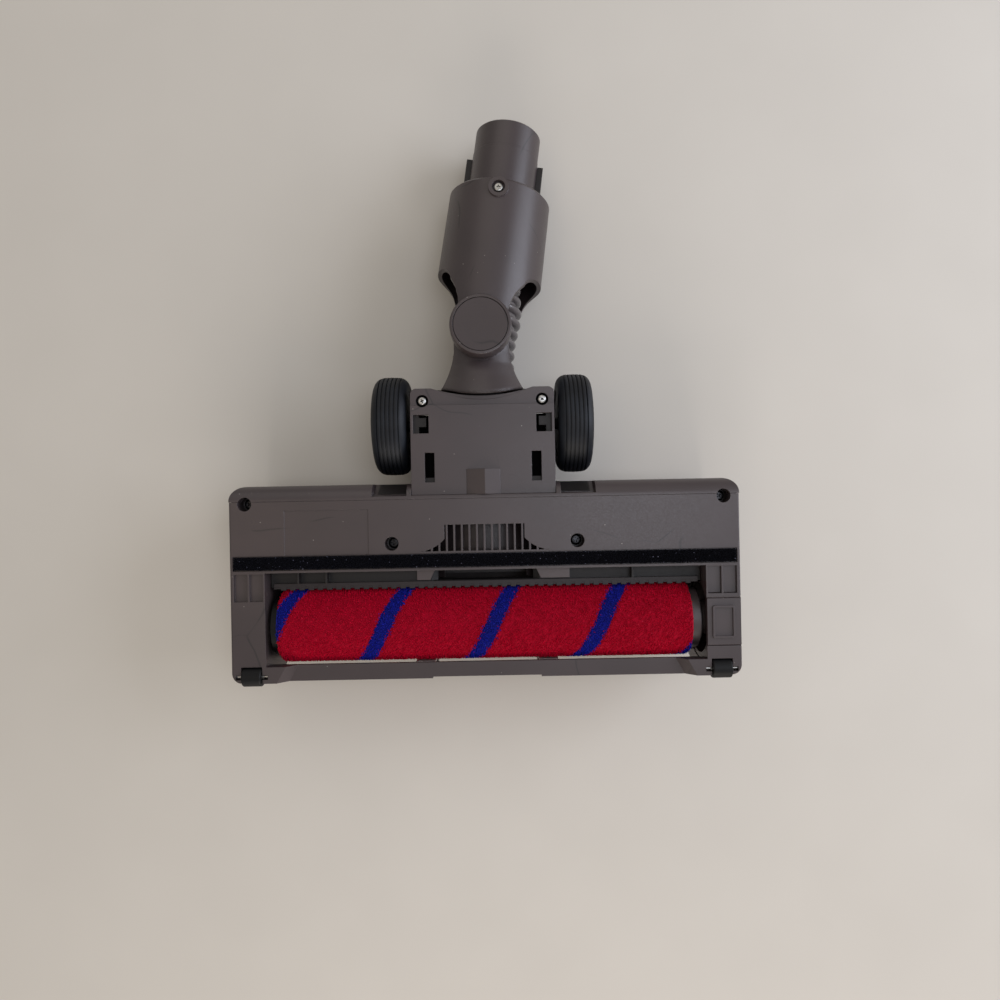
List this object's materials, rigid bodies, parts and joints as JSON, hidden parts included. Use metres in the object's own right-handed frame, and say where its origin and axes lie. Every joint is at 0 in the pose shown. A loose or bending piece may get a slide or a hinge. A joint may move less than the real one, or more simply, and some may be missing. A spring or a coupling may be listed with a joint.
{
  "type": "vacuum floor brush head",
  "caption": "Motorised soft-roller floor head for a stick vacuum, lying on its back, with a swivelling neck, a wand spigot and road wheels",
  "frame": {"origin": "centre of the flat top face, on which the head lies", "axes": "+Z out of the sole, away from the surface it lies on; +Y towards the neck and the wand spigot; +X along the roller towards the end cap"},
  "size_m": [0.25, 0.288, 0.0641],
  "materials": {
    "grey_abs": "satin moulded ABS, fine spark grain",
    "dark_abs": "moulded black ABS",
    "hub_nylon": "moulded black nylon",
    "black_felt": "short velvet strip",
    "red_pile": "dense nylon plush",
    "blue_pile": "dense nylon plush",
    "tyre_rubber": "matt moulded rubber",
    "hose_vinyl": "ribbed soft vinyl",
    "pin_steel": "bright zinc plate",
    "motor_can": "plated drawn can",
    "contact_brass": "bright strip",
    "board_laminate": "green epoxy laminate"
  },
  "bodies": {
    "head": {"top_shell": "grey_abs", "sole_frame": "grey_abs", "chamber_liner": "dark_abs", "comb_strip": "grey_abs", "felt_strip": "black_felt", "air_duct": "dark_abs", "sole_screws": "pin_steel", "drive_motor": "motor_can", "drive_belt": "tyre_rubber", "drive_bearing": "pin_steel", "control_board": "board_laminate", "chassis_base": "grey_abs", "chassis_cover": "grey_abs", "chassis_screws": "pin_steel", "wheel_axle_left": "pin_steel", "wheel_axle_right": "pin_steel", "caster_pin_left": "pin_steel", "caster_pin_right": "pin_steel"},
    "motor_rotor": {"motor_shaft": "pin_steel", "motor_pulley": "hub_nylon"},
    "drive": {"drive_shaft": "pin_steel", "drive_pulley": "hub_nylon"},
    "cap": {"end_cap": "grey_abs", "end_bush": "hub_nylon"},
    "roller": {"roller_core": "hub_nylon", "roller_pile_red": "red_pile", "roller_pile_blue": "blue_pile", "roller_hub_left": "hub_nylon", "roller_hub_right": "hub_nylon"},
    "wheel_left": {"wheel_tyre_left": "tyre_rubber", "wheel_hub_left": "hub_nylon"},
    "wheel_right": {"wheel_tyre_right": "tyre_rubber", "wheel_hub_right": "hub_nylon"},
    "caster_left": {"caster_left": "hub_nylon"},
    "caster_right": {"caster_right": "hub_nylon"},
    "neck": {"neck_barrel": "dark_abs", "neck_skirt_front": "grey_abs", "neck_skirt_back": "grey_abs", "swivel_plug_front": "grey_abs", "swivel_plug_back": "grey_abs", "hose_collar_lower": "dark_abs"},
    "cuff": {"cuff_shell": "grey_abs", "wand_tube": "grey_abs", "cuff_screw": "pin_steel", "contact_saddle": "dark_abs", "contact_blades": "contact_brass", "hose": "hose_vinyl", "hose_collar_upper": "dark_abs"}
  },
  "joints": [
    {"name": "neck_pitch", "type": "hinge", "parent": "head", "child": "neck", "pos_m": [0, 0.0785, 0.0388], "axis": [-1, 0, 0], "range_deg": [0, 80]},
    {"name": "neck_swivel", "type": "hinge", "parent": "neck", "child": "cuff", "pos_m": [0, 0.12318, 0.03433], "axis": [0, 0.0995, 0.995], "range_deg": [-61.8, 78.2], "deforming": ["hose"]},
    {"name": "end_cap_slide", "type": "slide", "parent": "head", "child": "cap", "axis": [1, 0, 0], "range_m": [0, 0.24]},
    {"name": "roller_spin", "type": "hinge", "parent": "cap", "child": "roller", "pos_m": [0, -0.0221, 0.0452], "axis": [1, 0, 0], "continuous": true},
    {"name": "drive_spin", "type": "hinge", "parent": "head", "child": "drive", "pos_m": [0, -0.0221, 0.0452], "axis": [1, 0, 0], "continuous": true},
    {"name": "motor_spin", "type": "hinge", "parent": "head", "child": "motor_rotor", "pos_m": [0, 0.027, 0.024], "axis": [1, 0, 0], "continuous": true},
    {"name": "wheel_left_spin", "type": "hinge", "parent": "head", "child": "wheel_left", "pos_m": [0, 0.0785, 0.0388], "axis": [1, 0, 0], "continuous": true},
    {"name": "wheel_right_spin", "type": "hinge", "parent": "head", "child": "wheel_right", "pos_m": [0, 0.0785, 0.0388], "axis": [1, 0, 0], "continuous": true},
    {"name": "caster_left_spin", "type": "hinge", "parent": "head", "child": "caster_left", "pos_m": [-0.1152, -0.0453, 0.0592], "axis": [1, 0, 0], "continuous": true},
    {"name": "caster_right_spin", "type": "hinge", "parent": "head", "child": "caster_right", "pos_m": [0.1152, -0.0453, 0.0592], "axis": [1, 0, 0], "continuous": true}
  ],
  "couplings": [
    {"joint": "drive_spin", "follows": "roller_spin", "ratio": 1},
    {"joint": "motor_spin", "follows": "roller_spin", "ratio": 1.8333}
  ]
}
